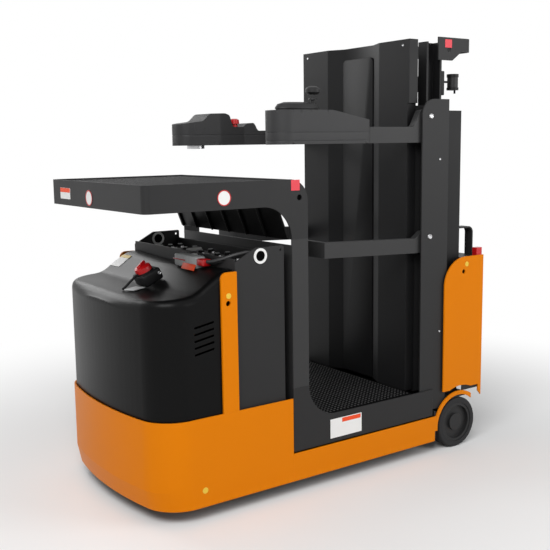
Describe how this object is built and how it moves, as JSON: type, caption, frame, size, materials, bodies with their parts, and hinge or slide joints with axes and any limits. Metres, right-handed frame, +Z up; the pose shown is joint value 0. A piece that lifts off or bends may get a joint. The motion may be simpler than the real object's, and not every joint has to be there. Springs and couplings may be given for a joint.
{
  "type": "order picker truck",
  "caption": "Compact battery order picker truck with a load tray over the hood, a standing platform with swing-up gates and a mast behind it.",
  "frame": {"origin": "on the floor under the middle of the bounding box", "axes": "+X forward towards the hood and tray, +Y to the left, +Z up"},
  "size_m": [1.5099, 0.75, 1.62],
  "materials": {
    "orange_paint": "gloss enamel",
    "black_paint": "satin powder coat",
    "hood_plastic": "gloss moulded",
    "black_plastic": "fine texture",
    "mast_steel": "semi-gloss",
    "bright_steel": "machined",
    "tyre_rubber": "solid rubber",
    "mat_rubber": "ribbed",
    "battery": "moulded",
    "grey_plastic": "moulded",
    "red_plastic": "moulded",
    "cast_hub": "painted"
  },
  "bodies": {
    "root": {"hull": "orange_paint", "sills": "orange_paint", "strip_posts": "orange_paint", "battery_plates": "black_paint", "rear_panels": "orange_paint", "drive_units": "mast_steel", "chassis_floor": "black_paint", "axle_beam": "black_paint", "front_deck": "black_paint", "hood": "hood_plastic", "battery_front_wall": "black_paint", "battery_rear_wall": "black_paint", "battery_case": "black_paint", "battery_cells": "battery", "battery_connector": "grey_plastic", "connector_grip": "red_plastic", "disconnect_base": "black_plastic", "disconnect_knob": "red_plastic", "outer_mast": "mast_steel", "lift_cylinders": "mast_steel", "rear_cover": "black_paint", "strap_handle": "black_paint", "switch_box": "red_plastic"},
    "inner_mast_body": {"inner_mast": "mast_steel", "lift_rods": "bright_steel", "mast_hoop": "black_paint", "chain_pulleys": "bright_steel", "rear_lamp": "black_plastic"},
    "platform": {"tray_front": "black_paint", "tray_rear_wall": "black_paint", "tray_mesh": "black_paint", "ribbed_panel": "hood_plastic", "floor_pan": "black_paint", "floor_mat": "mat_rubber", "backrest_wings": "black_paint", "backrest_recess": "black_paint", "carriage": "black_paint", "tray_sides": "black_paint", "side_posts": "black_paint", "side_sills": "black_paint", "columns": "black_paint"},
    "gate_left": {"gate_arm_left": "black_paint", "gate_pod_left": "black_plastic", "pod_knob_left": "black_plastic"},
    "lower_gate_left": {"gate_bar_left": "black_paint"},
    "rear_wheel_left": {"wheel_tyre_left": "tyre_rubber", "wheel_hub_left": "cast_hub"},
    "caster_left": {"caster_fork_left": "black_paint"},
    "caster_roll_left": {"caster_wheel_left": "tyre_rubber"},
    "gate_right": {"gate_arm_right": "black_paint", "gate_pod_right": "black_plastic", "pod_knob_right": "black_plastic"},
    "lower_gate_right": {"gate_bar_right": "black_paint"},
    "rear_wheel_right": {"wheel_tyre_right": "tyre_rubber", "wheel_hub_right": "cast_hub"},
    "caster_right": {"caster_fork_right": "black_paint"},
    "caster_roll_right": {"caster_wheel_right": "tyre_rubber"}
  },
  "joints": [
    {"name": "mast_lift", "type": "slide", "parent": "root", "child": "inner_mast_body", "axis": [0, 0, 1], "range_m": [0, 1]},
    {"name": "platform_lift", "type": "slide", "parent": "inner_mast_body", "child": "platform", "axis": [0, 0, 1], "range_m": [0, 1]},
    {"name": "gate_left_lift", "type": "hinge", "parent": "platform", "child": "gate_left", "pos_m": [-0.446, 0.338, 1.319], "axis": [0, -1, 0], "range_deg": [0, 70]},
    {"name": "lower_gate_left_lift", "type": "hinge", "parent": "platform", "child": "lower_gate_left", "pos_m": [-0.461, 0.338, 0.867], "axis": [0, -1, 0], "range_deg": [0, 70]},
    {"name": "rear_wheel_left_spin", "type": "hinge", "parent": "root", "child": "rear_wheel_left", "pos_m": [-0.625, 0.338, 0.102], "axis": [0, 1, 0], "continuous": true},
    {"name": "caster_left_swivel", "type": "hinge", "parent": "root", "child": "caster_left", "pos_m": [0.612, 0.165, 0.2], "axis": [0, 0, 1], "continuous": true},
    {"name": "caster_left_roll", "type": "hinge", "parent": "caster_left", "child": "caster_roll_left", "pos_m": [0.574, 0.165, 0.075], "axis": [0, -1, 0], "continuous": true},
    {"name": "gate_right_lift", "type": "hinge", "parent": "platform", "child": "gate_right", "pos_m": [-0.446, -0.338, 1.319], "axis": [0, -1, 0], "range_deg": [0, 70]},
    {"name": "lower_gate_right_lift", "type": "hinge", "parent": "platform", "child": "lower_gate_right", "pos_m": [-0.461, -0.338, 0.867], "axis": [0, -1, 0], "range_deg": [0, 70]},
    {"name": "rear_wheel_right_spin", "type": "hinge", "parent": "root", "child": "rear_wheel_right", "pos_m": [-0.625, -0.338, 0.102], "axis": [0, 1, 0], "continuous": true},
    {"name": "caster_right_swivel", "type": "hinge", "parent": "root", "child": "caster_right", "pos_m": [0.612, -0.165, 0.2], "axis": [0, 0, 1], "continuous": true},
    {"name": "caster_right_roll", "type": "hinge", "parent": "caster_right", "child": "caster_roll_right", "pos_m": [0.64423, -0.14486, 0.075], "axis": [-0.5299, 0.848, 0], "continuous": true}
  ],
  "couplings": [
    {"joint": "platform_lift", "follows": "mast_lift", "ratio": 1},
    {"joint": "lower_gate_left_lift", "follows": "gate_left_lift", "ratio": 1},
    {"joint": "lower_gate_right_lift", "follows": "gate_right_lift", "ratio": 1}
  ]
}
